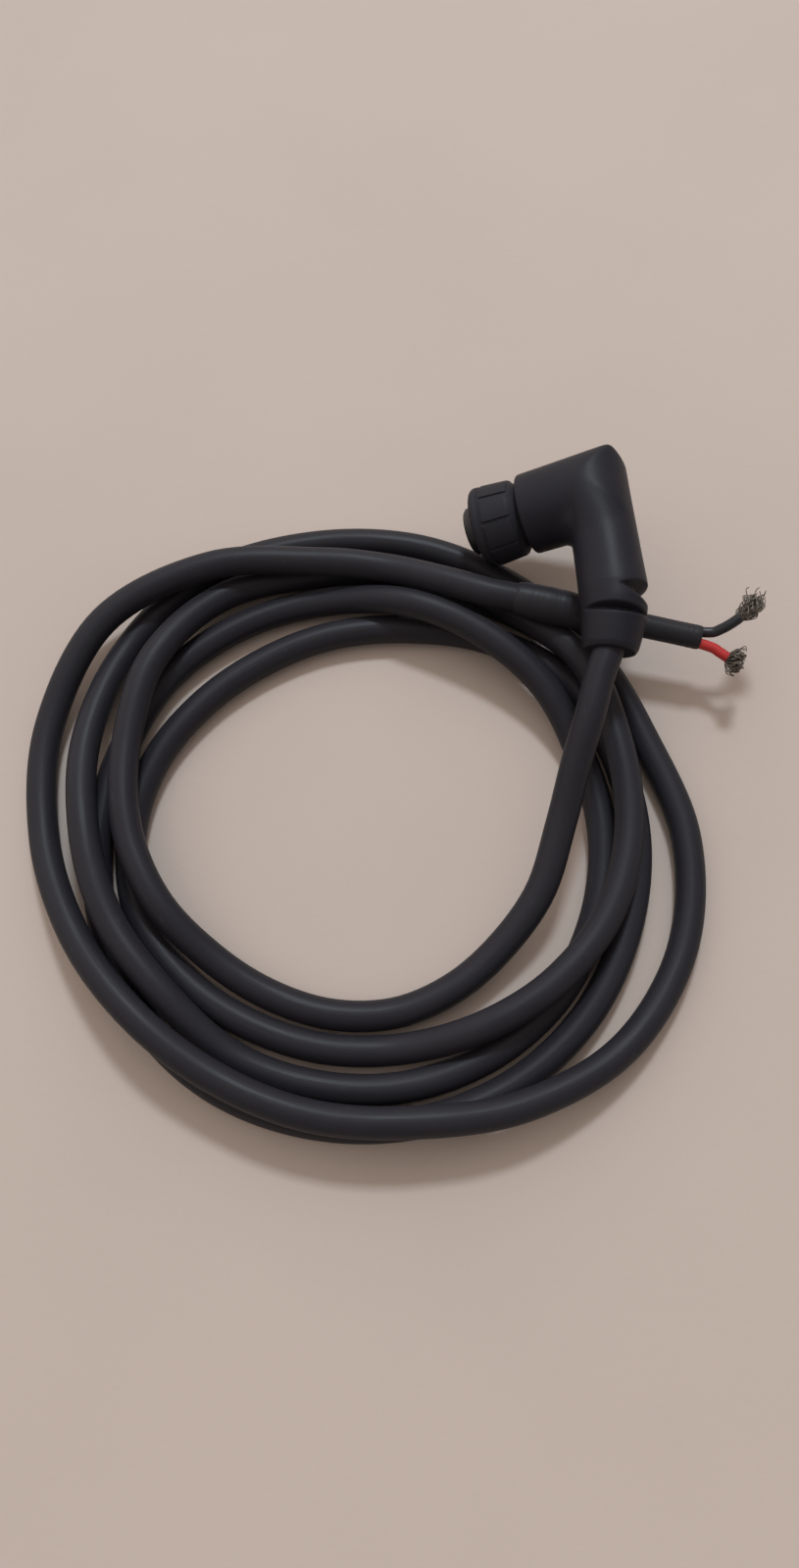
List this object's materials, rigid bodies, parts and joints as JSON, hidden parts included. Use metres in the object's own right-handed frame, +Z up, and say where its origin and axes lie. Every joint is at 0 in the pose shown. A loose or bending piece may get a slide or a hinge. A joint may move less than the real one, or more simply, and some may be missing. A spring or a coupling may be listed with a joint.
{
  "type": "right-angle instrument cable",
  "caption": "Coiled instrument cable with a moulded right-angle plug, a turning coupling nut and bare-ended leads at the far end.",
  "frame": {"origin": "middle of the part's bounding box in plan, on the ground the coil lies on", "axes": "+Z up from the ground, +Y from the near side of the coil to the elbow's side, +X to the bare leads' side"},
  "size_m": [0.1851, 0.1684, 0.0389],
  "materials": {
    "jacket": "matt charcoal",
    "moulding": "satin black",
    "inner_moulding": "matt",
    "insulator": "matt",
    "nut": "matt, moulded",
    "contact": "plated",
    "clip": "plain",
    "seal": "matt",
    "shrink": "satin",
    "red_insulation": "satin",
    "black_insulation": "satin",
    "tinned_wire": "dull"
  },
  "bodies": {
    "cable": {"overmould": "moulding", "inner_mould": "inner_moulding", "plug_shell": "insulator", "contact_carrier": "insulator", "face_seal": "seal", "retaining_ring": "clip", "red_contact": "contact", "black_contact": "contact", "red_core": "red_insulation", "black_core": "black_insulation", "cable_in_mould": "jacket", "cable_lead_in": "jacket", "cable_coil": "jacket", "cable_run_out": "jacket", "cable_in_boot": "jacket", "end_boot": "shrink", "tail_sleeve": "shrink", "red_lead": "red_insulation", "black_lead": "black_insulation", "red_strands": "tinned_wire", "black_strands": "tinned_wire"},
    "nut": {"coupling_nut": "nut"}
  },
  "joints": [
    {"name": "nut_turn", "type": "hinge", "parent": "cable", "child": "nut", "pos_m": [0.02742, 0.07057, 0.01767], "axis": [-0.9085, -0.0955, -0.4067], "continuous": true}
  ]
}
